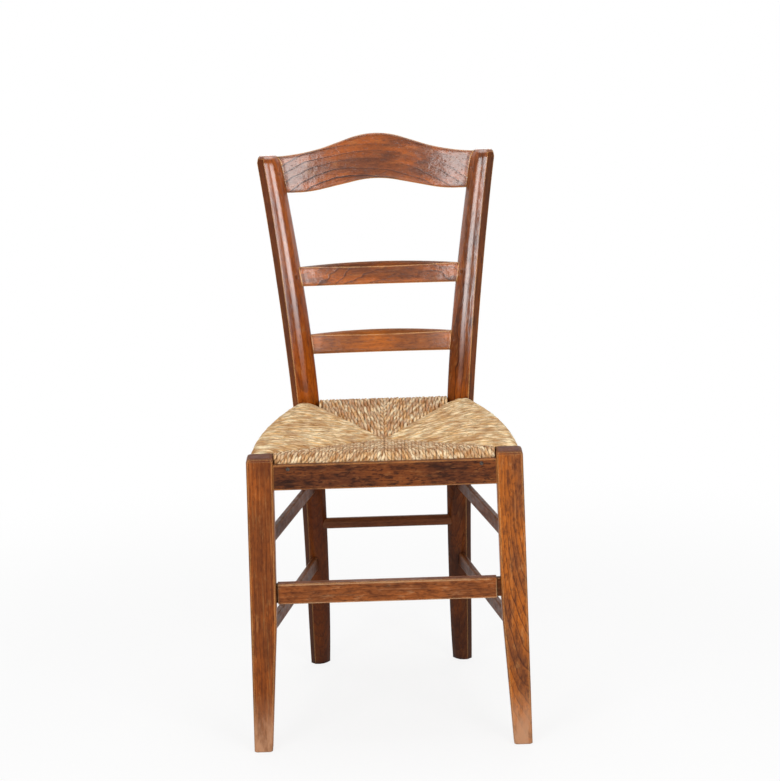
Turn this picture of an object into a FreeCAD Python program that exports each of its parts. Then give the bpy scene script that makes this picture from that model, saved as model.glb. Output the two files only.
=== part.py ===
import FreeCAD, Part

import math
import os
import re

import Sketcher
from FreeCAD import Placement, Rotation, Vector

# A rush-seated ladderback dining chair in elm, with a shaped crest rail and two slats.
# Left and right are as seen from the front. The chair faces -Y, +X is the viewer's right, +Z is up.
# Depths are laid out from the front legs' front faces, and every body stands that far forward of the
# origin that the middle of the chair's box is on it. The feet stand on z = 0.

# Driving dimensions, in millimetres and degrees
DIMENSIONS = {
    # Whole chair
    "seat_height": 455.0,           # crown of the front legs
    "seat_depth": 364.0,            # front legs' front face to rear posts' front face, at seat level
    "back_height": 847.0,           # crown of the rear posts
    "back_rake_angle": 8.0,         # lean of the back from upright
    "joint_clearance": 0.15,        # round every tenon and peg in its hole
    # Front legs: outer faces nearly straight, inner faces tapered below the knee
    "leg_spread_top": 203.5,
    "leg_spread_foot": 209.5,
    "leg_width_top": 39.5,
    "leg_width_knee": 38.5,
    "leg_width_foot": 27.5,
    "leg_knee_height": 205.0,
    "leg_arris": 2.0,
    "leg_crown_height": 5.0,
    "leg_crown_inset": 6.0,
    "foot_wear": 1.6,
    # Rear posts, one piece from foot to crown: outer face from the middle, and width, at each height
    "post_spread_foot": 133.5,
    "post_spread_ankle": 135.0,
    "post_spread_thigh": 138.2,
    "post_spread_seat": 145.3,
    "post_spread_waist": 158.7,
    "post_spread_shoulder": 174.4,
    "post_spread_top": 189.6,
    "post_width_foot": 31.0,
    "post_width_ankle": 35.6,
    "post_width_thigh": 38.8,
    "post_width_seat": 41.8,
    "post_width_waist": 42.2,
    "post_width_shoulder": 40.0,
    "post_width_top": 37.8,
    "post_ankle_height": 105.0,
    "post_thigh_drop": 155.0,       # below the front legs' crown
    "post_bend_drop": 7.0,          # where the posts turn from leaning forward to leaning back
    "post_waist_drop": 257.0,       # below the posts' own crown
    "post_shoulder_drop": 122.0,
    "post_foot_setback": 43.0,      # rear foot's front face behind the post's front face at the seat
    "post_depth_foot": 26.0,
    "post_depth_thigh": 32.0,
    "post_depth_seat": 33.0,
    "post_depth_waist": 31.0,
    "post_depth_top": 28.0,
    "post_bevel_foot": 7.0,         # width of the flat bevel on the outer front corner
    "post_bevel_seat": 9.0,
    "post_bevel_top": 11.0,
    "post_bevel_setback": 8.0,
    "post_face_setback": 14.0,      # how far back the rounded front face ends on the inner side
    "post_face_crown": 4.0,         # fullness of the rounded front face
    "post_back_chamfer": 4.0,
    "post_crown_height": 11.0,
    "post_crown_inset": 10.0,
    # Seat rails, hidden in the rush
    "seat_rail_height": 26.0,
    "seat_rail_thickness": 20.0,
    "seat_rail_drop": 13.0,         # top of the rails below the front legs' crown
    "seat_rail_tenon_height": 12.0,
    "seat_rail_tenon_thickness": 10.0,
    "seat_rail_tenon_length": 14.0,
    "rear_rail_inset": 5.0,         # rear rail behind the posts' front face
    "side_rush_spread": 201.0,      # side edge of the rush from the middle, at the front legs
    "side_rush_tuck": 0.5,          # side edge inside the posts' outer faces, at the back
    # Rush
    "rush_layer": 7.0,
    "rush_rim_crown": 6.5,          # rush over the rails, above one plain layer
    "rush_roll": 17.0,              # breadth of the rounded edge over and under the rails
    "rush_dish": 17.5,              # fall of the top from the rails to where the seams meet
    "rush_lift": 10.0,              # rise of the underside to where the seams meet
    "rush_centre_setback": 178.0,   # where the four seams meet, behind the front legs' front face
    "rush_seam": 9.0,               # cords standing between the pockets of stuffing
    "rush_gap": 0.3,
    # Front apron and its nails
    "apron_height": 38.5,
    "apron_thickness": 8.0,
    "apron_recess": 3.0,
    "apron_drop": 10.6,             # top of the apron below the front legs' crown
    "apron_wear": 1.2,
    "nail_offset": 142.5,
    "nail_drop": 6.5,
    "nail_diameter": 2.4,
    "nail_head_diameter": 6.0,
    "nail_head_height": 0.8,
    "nail_length": 30.0,
    # Front stretcher: square shoulders that stop short of the legs, and a thinner neck through to them
    "front_stretcher_level": 228.5,
    "front_stretcher_height": 31.0,
    "front_stretcher_thickness": 16.0,
    "front_stretcher_recess": 11.0,
    "front_stretcher_wear": 1.6,
    "front_stretcher_gap_left": 2.5,
    "front_stretcher_gap_right": 6.5,
    "front_stretcher_neck_height": 28.0,
    "front_stretcher_neck_thickness": 10.0,
    "stretcher_tenon_length": 18.0,
    # Rear stretcher
    "rear_stretcher_level": 236.2,
    "rear_stretcher_height": 16.5,
    "rear_stretcher_thickness": 13.0,
    "rear_stretcher_inset": 9.0,
    "rear_stretcher_bevel": 4.0,
    # Side stretchers, thin laths set on edge
    "side_stretcher_height": 22.0,
    "side_stretcher_thickness": 9.0,
    "side_stretcher_arris": 1.6,
    "side_stretcher_front_x": 185.0,
    "side_stretcher_rear_x": 121.0,
    "upper_side_stretcher_level": 301.0,
    "lower_side_stretcher_level": 166.5,
    "side_tenon_height": 15.0,
    "side_tenon_thickness": 6.0,
    # Crest rail and slats, all bowed back on one radius
    "back_bow_radius": 650.0,
    "plank_inset": 9.0,             # planks behind the posts' front face
    "plank_tenon_length": 16.0,
    "plank_tenon_overlap": 8.0,
    "plank_tenon_margin": 4.0,      # tenon below the plank's top edge and above its bottom edge
    "crest_drop": 59.5,             # underside of the crest rail's ends below the posts' crown
    "crest_half_length": 168.0,
    "crest_thickness": 15.0,
    "crest_end_height": 58.0,
    "crest_middle_height": 72.5,
    "crest_arch": 19.2,             # underside at the middle above the underside at the ends
    "crest_arris": 2.0,
    "crest_tenon_thickness": 9.0,
    "crest_peak_radius": 132.0,
    "crest_peak_width": 42.0,       # half width of the round peak
    "crest_peak_fall": 6.9,
    "crest_flank_width": 82.0,      # half width down to the foot of the straight flanks
    "crest_flank_fall": 20.6,
    "crest_shoulder_radius": 330.0,
    "crest_hollow_radius": 160.0,
    "crest_hollow_width": 32.0,
    "crest_hollow_fall": 3.2,
    "crest_haunch_width": 86.0,
    "crest_haunch_fall": 14.6,
    "crest_haunch_radius": 190.0,
    "crest_haunch_end": 122.0,
    "upper_slat_drop": 208.5,       # underside of the slat's ends below the posts' crown
    "upper_slat_half_length": 142.0,
    "lower_slat_drop": 316.8,
    "lower_slat_half_length": 131.0,
    "slat_thickness": 12.0,
    "slat_tenon_thickness": 7.0,
    "slat_front_end": 32.2,         # height of the front arris at the ends
    "slat_front_middle": 28.0,
    "slat_back_end": 29.7,          # height of the back edge at the ends
    "slat_back_middle": 36.3,
    "slat_tenon_height": 20.0,
    # Wooden pegs through the crest and slat tenons, driven from behind
    "peg_diameter": 7.0,
    "peg_proud": 1.0,
    "peg_length": 25.0,
}

document = FreeCAD.newDocument("ladderback_chair")
sheet = document.addObject("Spreadsheet::Sheet", "dims")
for row, (alias, size) in enumerate(DIMENSIONS.items(), start=1):
    sheet.set(f"A{row}", alias.replace("_", " "))
    sheet.set(f"B{row}", str(size))
    sheet.setAlias(f"B{row}", alias)
document.recompute()

SUB_PARTS = []
WORD = re.compile(r"[a-z_]+")
ORIGIN = -1
START, END = 1, 2


def bound(expression):
    """The expression with the sheet's name before each of its cells."""
    return WORD.sub(lambda m: f"dims.{m[0]}" if m[0] in DIMENSIONS else m[0], str(expression))


def number(expression):
    return float(sheet.evalExpression(bound(expression)))


# Heights along the rear posts, and of the planks between them
POST_BEND = "(seat_height - post_bend_drop)"
POST_THIGH = "(seat_height - post_thigh_drop)"
POST_WAIST = "(back_height - post_waist_drop)"
POST_SHOULDER = "(back_height - post_shoulder_drop)"
CREST_LEVEL = "(back_height - crest_drop)"
UPPER_SLAT_LEVEL = "(back_height - upper_slat_drop)"
LOWER_SLAT_LEVEL = "(back_height - lower_slat_drop)"


def post_front(height):
    """Depth of the posts' front faces, which lean forward up to the bend and back above it."""
    if number(height) > number(POST_BEND):
        return f"seat_depth + (({height}) - {POST_BEND}) * tan(back_rake_angle)"
    return f"seat_depth + post_foot_setback * ({POST_BEND} - ({height})) / {POST_BEND}"


def tilted(level, along_y, along_z):
    """The layout's y and z of a point given in a leaning plank's own frame."""
    foot = f"({post_front(level)} + plank_inset)"
    return (f"{foot} + ({along_y}) * cos(back_rake_angle) + ({along_z}) * sin(back_rake_angle)",
            f"{level} - ({along_y}) * sin(back_rake_angle) + ({along_z}) * cos(back_rake_angle)")


def bow(x, half_length):
    """How far back a plank's front face is at x, from the chord between its ends."""
    radius = "back_bow_radius"
    return f"(sqrt({radius} ^ 2 - ({x}) ^ 2) - sqrt({radius} ^ 2 - ({half_length}) ^ 2))"


CREST_BACK = f"{bow('0', 'crest_half_length')} + crest_thickness"
# Half way from the front legs' front faces to the back of the crest rail's peak
MIDDLE_DEPTH = f"({tilted(CREST_LEVEL, CREST_BACK, 'crest_arch + crest_middle_height')[0]}) / 2"


def bind(thing, **sizes):
    for path, expression in sizes.items():
        thing.setExpression(path.replace("__", "."), bound(expression))


def sub_part(label, thing):
    thing.Label = label
    SUB_PARTS.append(thing)
    return thing


def place(thing, x, y, z, turn=None, axis=Vector(1, 0, 0)):
    """Puts a body or primitive at a bound place of the layout, turned about an axis where that is given."""
    if turn:
        thing.Placement = Placement(Vector(), Rotation(axis, number(turn)))
        bind(thing, Placement__Rotation__Angle=f"({turn}) * 1 deg")
    bind(thing, Placement__Base__x=x, Placement__Base__y=f"{y} - {MIDDLE_DEPTH}", Placement__Base__z=z)
    return thing


def new_body(label, x="0", y="0", z="0", turn=None, axis=Vector(1, 0, 0)):
    return place(document.addObject("PartDesign::Body", label), x, y, z, turn, axis)


def arc_between(first, last, radius):
    """A counter-clockwise arc for a positive radius, a clockwise one for a negative one."""
    chord = last - first
    height = math.sqrt(radius ** 2 - (chord.Length / 2) ** 2)
    side = Vector(-chord.y, chord.x, 0).normalize() * math.copysign(height, radius)
    centre = (first + last) / 2 + side
    a = math.atan2(first.y - centre.y, first.x - centre.x)
    b = math.atan2(last.y - centre.y, last.x - centre.x)
    if radius < 0:
        a, b = b, a
    if b < a:
        b += 2 * math.pi
    return Part.ArcOfCircle(Part.Circle(centre, Vector(0, 0, 1), abs(radius)), a, b)


def outline(body, name, plane, corners, offset="0", arcs=None):
    """A closed sketch through bound corners; arcs gives the radius of each curved edge by its number."""
    arcs = arcs or {}
    sketch = body.newObject("Sketcher::SketchObject", f"{body.Name}_{name}")
    face = next(f for f in body.Origin.OriginFeatures if f.Role == f"{plane}_Plane")
    sketch.AttachmentSupport = (face, [""])
    sketch.MapMode = "FlatFace"
    bind(sketch, AttachmentOffset__Base__z=offset)
    points = [Vector(number(x), number(y), 0) for x, y in corners]
    ends = []
    for i, first in enumerate(points):
        last = points[(i + 1) % len(points)]
        if i not in arcs:
            edge = sketch.addGeometry(Part.LineSegment(first, last))
            ends.append((edge, START, END))
            continue
        radius = number(arcs[i])
        edge = sketch.addGeometry(arc_between(first, last, radius))
        ends.append((edge, START, END) if radius > 0 else (edge, END, START))
        constraint = sketch.addConstraint(Sketcher.Constraint("Radius", edge, abs(radius)))
        sketch.setExpression(f"Constraints[{constraint}]", bound(f"abs({arcs[i]})"))
    for i, (edge, start, _) in enumerate(ends):
        before, _, before_end = ends[i - 1]
        sketch.addConstraint(Sketcher.Constraint("Coincident", before, before_end, edge, start))
        for axis, place, expression in zip("XY", points[i], corners[i]):
            constraint = sketch.addConstraint(
                Sketcher.Constraint(f"Distance{axis}", ORIGIN, START, edge, start, place))
            sketch.setExpression(f"Constraints[{constraint}]", bound(expression))
    return sketch


def curve(first, control, last, steps):
    """The points between first and last of a parabola that is tangent to the lines through control."""
    points = []
    for i in range(1, steps):
        share = i / steps
        a, b, c = (1 - share) ** 2, 2 * share * (1 - share), share ** 2
        points.append(tuple(f"{a:.6f} * ({p}) + {b:.6f} * ({q}) + {c:.6f} * ({r})"
                            for p, q, r in zip(first, control, last)))
    return points


def chamfered_rectangle(body, name, plane, x0, x1, y0, y1, chamfer, offset="0"):
    corners = [(f"{x0} + {chamfer}", y0), (f"{x1} - {chamfer}", y0), (x1, f"{y0} + {chamfer}"),
               (x1, f"{y1} - {chamfer}"), (f"{x1} - {chamfer}", y1), (f"{x0} + {chamfer}", y1),
               (x0, f"{y1} - {chamfer}"), (x0, f"{y0} + {chamfer}")]
    return outline(body, name, plane, corners, offset)


def rounded_rectangle(body, name, plane, x0, x1, y0, y1, radius, offset="0"):
    corners = [(f"{x0} + {radius}", y0), (f"{x1} - {radius}", y0), (x1, f"{y0} + {radius}"),
               (x1, f"{y1} - {radius}"), (f"{x1} - {radius}", y1), (f"{x0} + {radius}", y1),
               (x0, f"{y1} - {radius}"), (x0, f"{y0} + {radius}")]
    return outline(body, name, plane, corners, offset, {1: radius, 3: radius, 5: radius, 7: radius})


def loft(body, name, sections, ruled):
    feature = body.newObject("PartDesign::AdditiveLoft", f"{body.Name}_{name}")
    feature.Profile = sections[0]
    feature.Sections = sections[1:]
    feature.Ruled = ruled
    return feature


def pad(body, sketch, length, middle=False):
    feature = body.newObject("PartDesign::Pad", f"{body.Name}_pad")
    feature.Profile = sketch
    feature.SideType = "Symmetric" if middle else "One side"
    bind(feature, Length=length)
    return feature


def pocket_through(body, sketch, length):
    feature = body.newObject("PartDesign::Pocket", f"{body.Name}_pocket")
    feature.Profile = sketch
    feature.SideType = "Symmetric"
    bind(feature, Length=length)
    return feature


def cut(name, base, tools):
    tool = tools[0]
    if len(tools) > 1:
        tool = document.addObject("Part::MultiFuse", f"{name}_tools")
        tool.Shapes = tools
    result = document.addObject("Part::Cut", name)
    result.Base = base
    result.Tool = tool
    return result


def fuse(name, shapes):
    result = document.addObject("Part::MultiFuse", name)
    result.Shapes = shapes
    result.Refine = True
    return result


def common(name, first, second):
    result = document.addObject("Part::MultiCommon", name)
    result.Shapes = [first, second]
    return result


def mirrored(name, source):
    """The right-hand copy of a left-hand shape."""
    result = document.addObject("Part::Mirroring", name)
    result.Source = source
    result.Normal = Vector(1, 0, 0)
    return result


def block(name, x0, x1, y0, y1, z0, z1, grow=("0", "0", "0")):
    """A box between bound planes, longer by grow at both ends of each of its axes."""
    box = document.addObject("Part::Box", name)
    along, across, up = grow
    bind(box, Length=f"({x1}) - ({x0}) + 2 * {along}", Width=f"({y1}) - ({y0}) + 2 * {across}",
         Height=f"({z1}) - ({z0}) + 2 * {up}")
    return place(box, f"{x0} - {along}", f"{y0} - {across}", f"{z0} - {up}")


def tenon_and_mortise(name, *planes, cheeks="Y"):
    """A tenon bears on its cheeks, square to the axis given, and has clearance at its end and edges."""
    grow = ["0" if axis == cheeks else "joint_clearance" for axis in "XYZ"]
    return block(f"{name}_tenon", *planes), block(f"{name}_mortise", *planes, grow=grow)


def between(low, high, first, last, height):
    return f"({first} + ({last} - {first}) * (({height}) - {low}) / ({high} - {low}))"


FACE_STRIPS = 4
POST_STATIONS = [
    ("foot", "0", "post_depth_foot", "post_bevel_foot"),
    ("ankle", "post_ankle_height", "(post_depth_foot + post_depth_thigh) / 2", "post_bevel_foot"),
    ("thigh", POST_THIGH, "post_depth_thigh", "(post_bevel_foot + post_bevel_seat) / 2"),
    ("seat", POST_BEND, "post_depth_seat", "post_bevel_seat"),
    ("waist", POST_WAIST, "post_depth_waist", "(post_bevel_seat + post_bevel_top) / 2"),
    ("shoulder", POST_SHOULDER, "(post_depth_waist + post_depth_top) / 2", "post_bevel_top"),
    ("top", "back_height - post_crown_height", "post_depth_top", "post_bevel_top"),
]


def post_line(quantity, height):
    """The post's spread or width at a bound height, straight between its stations."""
    for (low_name, low, _, _), (high_name, high, _, _) in zip(POST_STATIONS, POST_STATIONS[1:]):
        if number(height) <= number(high):
            break
    return between(f"({low})", f"({high})", f"post_{quantity}_{low_name}", f"post_{quantity}_{high_name}", height)


def post_inner(height):
    return f"({post_line('spread', height)} - {post_line('width', height)})"


def post_section(body, name, height, spread, width, front, depth, bevel, scale="1"):
    """The post cut level at a height: bevelled outside, rounded inside, and drawn in about its middle by scale."""
    outer, inner = f"-({spread})", f"(-({spread}) + {width})"
    face, back = f"({front})", f"({front} + {depth})"
    chamfer = "post_back_chamfer"
    arris = (f"{outer} + {bevel}", face)
    full = (f"{outer} + {bevel} + 0.62 * ({width} - {bevel})", f"{face} - post_face_crown")
    edge = (inner, f"{face} + post_face_setback")
    corners = [(outer, f"{face} + post_bevel_setback"), arris, *curve(arris, full, edge, FACE_STRIPS), edge,
               (inner, f"{back} - {chamfer}"), (f"{inner} - {chamfer}", back), (f"{outer} + {chamfer}", back),
               (outer, f"{back} - {chamfer}")]
    middle = (f"({outer} + {inner}) / 2", f"({face} + {back}) / 2")
    corners = [tuple(f"{m} + {scale} * ({p} - {m})" for m, p in zip(middle, corner)) for corner in corners]
    return outline(body, name, "XY", corners, height)


def make_post_blank():
    """The left rear post before its mortises, sawn to a double rake and spread, with a domed crown."""
    body = new_body("post_blank")
    sections = []
    for name, height, depth, bevel in POST_STATIONS:
        sections.append(post_section(body, name, height, f"post_spread_{name}", f"post_width_{name}",
                                     post_front(height), depth, f"({bevel})"))
    loft(body, "shaft", sections, ruled=False)
    crown = [sections[-1]]
    for name, rise, inset in (("brow", 0.6, 0.22), ("temple", 0.9, 0.6), ("crown", 1.0, 1.0)):
        height = f"back_height - post_crown_height * (1 - {rise})"
        crown.append(post_section(body, name, height, post_line("spread", height), "post_width_top",
                                  post_front(height), "post_depth_top", "post_bevel_top",
                                  f"(1 - 2 * {inset} * post_crown_inset / post_width_top)"))
    loft(body, "dome", crown, ruled=True)
    return body


# Front leg lines
def leg_spread(height):
    return between("0", "seat_height", "leg_spread_foot", "leg_spread_top", height)


def leg_width(height):
    if number(height) <= number("leg_knee_height"):
        return between("0", "leg_knee_height", "leg_width_foot", "leg_width_knee", height)
    return between("leg_knee_height", "seat_height", "leg_width_knee", "leg_width_top", height)


def leg_inner(height):
    return f"({leg_spread(height)} - {leg_width(height)})"


def leg_section(body, name, height, inset="0"):
    outer = f"-{leg_spread(height)} + {inset}"
    inner = f"-{leg_inner(height)} - {inset}"
    return chamfered_rectangle(body, name, "XY", outer, inner, inset, f"{leg_width(height)} - {inset}",
                               "leg_arris", height)


def make_leg_blank():
    """The left front leg before its mortises: square, tapered on two faces below the knee, with a domed crown."""
    body = new_body("leg_blank")
    neck = "(seat_height - leg_crown_height)"
    shaft = [leg_section(body, "sole", "0", "foot_wear"), leg_section(body, "foot", "foot_wear"),
             leg_section(body, "knee", "leg_knee_height"), leg_section(body, "neck", neck)]
    loft(body, "shaft", shaft, ruled=True)
    crown = [shaft[-1]]
    for name, drop, inset in (("brow", 0.35, 0.25), ("temple", 0.1, 0.57), ("crown", 0, 1)):
        crown.append(leg_section(body, name, f"seat_height - leg_crown_height * {drop}",
                                 f"leg_crown_inset * {inset}"))
    loft(body, "dome", crown, ruled=True)
    return body


leg_blank = make_leg_blank()
post_blank = make_post_blank()
leg_blank_right = mirrored("leg_blank_right", leg_blank)
post_blank_right = mirrored("post_blank_right", post_blank)
leg_mortises = []
post_mortises = []

# Seat rails
RAIL_TOP = "(seat_height - seat_rail_drop)"
RAIL_BOTTOM = f"({RAIL_TOP} - seat_rail_height)"
RUSH_FRONT = "(apron_recess + apron_thickness + rush_gap)"
FRONT_RAIL_FRONT = f"({RUSH_FRONT} + rush_layer)"
FRONT_RAIL_BACK = f"({FRONT_RAIL_FRONT} + seat_rail_thickness)"
REAR_RAIL_FRONT = "(seat_depth + rear_rail_inset)"
REAR_RAIL_BACK = f"({REAR_RAIL_FRONT} + seat_rail_thickness)"
RUSH_REAR = f"({REAR_RAIL_BACK} + rush_layer)"
LEG_BACK = "leg_width_top"
# The seat's side edge is part of a circle that is square to the front where the leg's back face meets it
SIDE_RUN = f"(seat_depth - {LEG_BACK})"
SIDE_DRAW = "(side_rush_spread - post_spread_seat + side_rush_tuck)"
SIDE_BOW = f"(({SIDE_RUN} ^ 2 + {SIDE_DRAW} ^ 2) / (2 * {SIDE_DRAW}))"
BOW_CENTRE = f"({SIDE_BOW} - side_rush_spread)"
RAIL_BOW = f"({SIDE_BOW} - rush_layer)"


def cross_rail(name, front, leg_or_post_inner, mortises, blanks):
    """A straight seat rail across the chair, shouldered against what it joins, tenoned low."""
    body = new_body(f"{name}_bar")
    back = f"{front} + seat_rail_thickness"
    section = rounded_rectangle(body, "section", "YZ", front, back, RAIL_BOTTOM, RAIL_TOP, "leg_arris")
    pad(body, section, f"2 * ({leg_or_post_inner} + leg_arris + 6)", middle=True)
    shouldered = cut(f"{name}_shouldered", body, blanks)
    margin = "(seat_rail_thickness - seat_rail_tenon_thickness) / 2"
    tenon, mortise = tenon_and_mortise(
        name, f"-({leg_or_post_inner} + seat_rail_tenon_length)", f"-({leg_or_post_inner} - 12)",
        f"{front} + {margin}", f"{back} - {margin}", f"{RAIL_BOTTOM} + 0", f"{RAIL_BOTTOM} + seat_rail_tenon_height")
    mortises.append(mortise)
    return fuse(name, [shouldered, tenon, mirrored(f"{name}_tenon_right", tenon)])


front_rail = cross_rail("front_rail", FRONT_RAIL_FRONT, leg_inner(RAIL_TOP), leg_mortises,
                        [leg_blank, leg_blank_right])
rear_rail = cross_rail("rear_rail", REAR_RAIL_FRONT, post_inner(RAIL_TOP), post_mortises,
                       [post_blank, post_blank_right])


def turned_about_side(name, corners):
    """A band of the given section, as wide as the chair is deep, bent on the side rail's circle."""
    body = new_body(name, x=BOW_CENTRE, y=LEG_BACK)
    section = outline(body, "section", "XZ", corners)
    feature = body.newObject("PartDesign::Revolution", f"{name}_bend")
    feature.Profile = section
    feature.ReferenceAxis = (section, ["V_Axis"])
    feature.Midplane = True
    bind(feature, Angle=f"2 * asin(seat_depth / {SIDE_BOW}) * 1 deg")
    return body


def side_x(radius, y):
    """How far left the circle of this radius is at a bound depth."""
    return f"({BOW_CENTRE} - sqrt(({radius}) ^ 2 - (({y}) - {LEG_BACK}) ^ 2))"


def make_side_rail():
    outer = f"-{RAIL_BOW}"
    inner = f"-({RAIL_BOW} - seat_rail_thickness)"
    band = turned_about_side("side_rail_band", [(outer, RAIL_BOTTOM), (inner, RAIL_BOTTOM),
                                                (inner, RAIL_TOP), (outer, RAIL_TOP)])
    middle = f"({RAIL_BOW} - seat_rail_thickness / 2)"
    front_x = side_x(middle, LEG_BACK)
    rear_x = side_x(middle, "seat_depth")
    span = block("side_rail_span", f"-{leg_spread('0')}", "0", f"{LEG_BACK} - 10", "seat_depth + 12",
                 f"{RAIL_BOTTOM} - 1", f"{RAIL_TOP} + 1")
    shouldered = cut("side_rail_shouldered", common("side_rail_bar", band, span), [leg_blank, post_blank])
    half = "seat_rail_tenon_thickness / 2"
    levels = (f"{RAIL_TOP} - seat_rail_tenon_height", RAIL_TOP)
    front, front_mortise = tenon_and_mortise(
        "side_rail_front", f"{front_x} - {half}", f"{front_x} + {half}",
        f"{LEG_BACK} - seat_rail_tenon_length", f"{LEG_BACK} + 10", *levels, cheeks="X")
    rear, rear_mortise = tenon_and_mortise(
        "side_rail_rear", f"{rear_x} - {half} + 1", f"{rear_x} + {half} - 1",
        "seat_depth - 8", "seat_depth + seat_rail_tenon_length", *levels, cheeks="X")
    leg_mortises.append(front_mortise)
    post_mortises.append(rear_mortise)
    return fuse("side_seat_rail_left", [shouldered, front, rear])


side_rail = make_side_rail()

# Front stretcher
STRETCHER_MIDDLE = "(front_stretcher_level + front_stretcher_height / 2)"


def make_front_stretcher():
    """A board with a worn upper arris whose shoulders stop short of the legs; its neck goes on into them."""
    body = new_body("front_stretcher_board")
    front, back = "front_stretcher_recess", "front_stretcher_recess + front_stretcher_thickness"
    bottom, top = "front_stretcher_level", "front_stretcher_level + front_stretcher_height"
    wear = "front_stretcher_wear"
    inner = leg_inner(STRETCHER_MIDDLE)
    corners = [(front, f"{bottom} + {wear} / 2"), (f"{front} + {wear} / 2", bottom), (back, bottom),
               (back, f"{top} - {wear} / 2"), (f"{back} - {wear} / 2", top), (f"{front} + {wear}", top),
               (front, f"{top} - {wear}")]
    section = outline(body, "section", "YZ", corners, f"-({inner} - front_stretcher_gap_left)")
    pad(body, section, f"2 * {inner} - front_stretcher_gap_left - front_stretcher_gap_right")
    cheek = "(front_stretcher_thickness - front_stretcher_neck_thickness) / 2"
    edge = "(front_stretcher_height - front_stretcher_neck_height) / 2"
    reach = f"({inner} + stretcher_tenon_length)"
    planes = (f"-{reach}", reach, f"{front} + {cheek}", f"{back} - {cheek}", f"{bottom} + {edge}", f"{top} - {edge}")
    neck, mortise = tenon_and_mortise("front_stretcher", *planes)
    leg_mortises.append(mortise)
    return fuse("front_stretcher", [body, neck])


def make_rear_stretcher():
    """A light bar with a broad bevel along its upper front edge, shouldered against the posts."""
    body = new_body("rear_stretcher_bar")
    middle = "(rear_stretcher_level + rear_stretcher_height / 2)"
    front = f"({post_front(middle)} + rear_stretcher_inset)"
    back = f"({front} + rear_stretcher_thickness)"
    bottom, top = "rear_stretcher_level", "(rear_stretcher_level + rear_stretcher_height)"
    bevel = "rear_stretcher_bevel"
    corners = [(front, f"{bottom} + {bevel} / 2"), (f"{front} + {bevel} / 2", bottom),
               (f"{back} - {bevel} / 2", bottom), (back, f"{bottom} + {bevel} / 2"),
               (back, f"{top} - {bevel}"), (f"{back} - {bevel}", top), (f"{front} + {bevel}", top),
               (front, f"{top} - {bevel} * 1.5")]
    section = outline(body, "section", "YZ", corners)
    inner = post_inner(middle)
    pad(body, section, f"2 * ({inner} + 10)", middle=True)
    shouldered = cut("rear_stretcher_shouldered", body, [post_blank, post_blank_right])
    tenon, mortise = tenon_and_mortise(
        "rear_stretcher", f"-({inner} + stretcher_tenon_length)", f"-({inner} - 12)",
        f"{front} + {bevel}", f"{back} - {bevel}", f"{bottom} + {bevel}", f"{top} - {bevel}")
    post_mortises.append(mortise)
    return fuse("rear_stretcher", [shouldered, tenon, mirrored("rear_stretcher_tenon_right", tenon)])


def make_side_stretcher(name, level):
    """A thin lath on edge from the front leg to the rear post, with a thinner tenon in line with it at each end."""
    middle = f"({level} + side_stretcher_height / 2)"
    start = leg_width(middle)
    span = f"({post_front(middle)} - {start})"
    inward = "(side_stretcher_front_x - side_stretcher_rear_x)"
    run = f"sqrt({span} ^ 2 + {inward} ^ 2)"
    bars = []
    for kind, height, thickness, arris, past in (
            ("lath", "side_stretcher_height", "side_stretcher_thickness", "side_stretcher_arris", "14"),
            ("tenons", "side_tenon_height", "side_tenon_thickness", "0.5", "stretcher_tenon_length"),
            ("mortises", "side_tenon_height + 2 * joint_clearance", "side_tenon_thickness", "0.5",
             "stretcher_tenon_length")):
        body = new_body(f"{name}_{kind}", "-(side_stretcher_front_x + side_stretcher_rear_x) / 2",
                        f"{start} + {span} / 2", middle, f"-atan({inward} / {span})", Vector(0, 0, 1))
        section = chamfered_rectangle(body, "section", "XZ", f"-({thickness}) / 2", f"({thickness}) / 2",
                                      f"-({height}) / 2", f"({height}) / 2", arris)
        pad(body, section, f"{run} + 2 * {past}", middle=True)
        bars.append(body)
    lath, tenons, mortises = bars
    leg_mortises.append(mortises)
    post_mortises.append(mortises)
    return fuse(name, [cut(f"{name}_shouldered", lath, [leg_blank, post_blank]), tenons])


front_stretcher = make_front_stretcher()
rear_stretcher = make_rear_stretcher()
upper_side_stretcher = make_side_stretcher("side_stretcher_upper_left", "upper_side_stretcher_level")
lower_side_stretcher = make_side_stretcher("side_stretcher_lower_left", "lower_side_stretcher_level")

# Back: crest rail and slats
pegs = {"crest": [], "slat": []}


def leaning_block(name, level, x0, x1, y0, y1, z0, z1, grow="0"):
    """A box in a leaning plank's own frame, longer by grow along its X and Z axes."""
    box = document.addObject("Part::Box", name)
    bind(box, Length=f"({x1}) - ({x0}) + 2 * {grow}", Width=f"({y1}) - ({y0})",
         Height=f"({z1}) - ({z0}) + 2 * {grow}")
    y, z = tilted(level, y0, f"({z0}) - {grow}")
    return place(box, f"({x0}) - {grow}", y, z, "-back_rake_angle")


def leaning_rod(name, level, radius, length, x, y, z):
    """A cylinder square to the plank, from its own y towards the front."""
    rod = document.addObject("Part::Cylinder", name)
    bind(rod, Radius=radius, Height=length)
    y_place, z_place = tilted(level, y, z)
    return place(rod, x, y_place, z_place, "90 - back_rake_angle")


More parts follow.
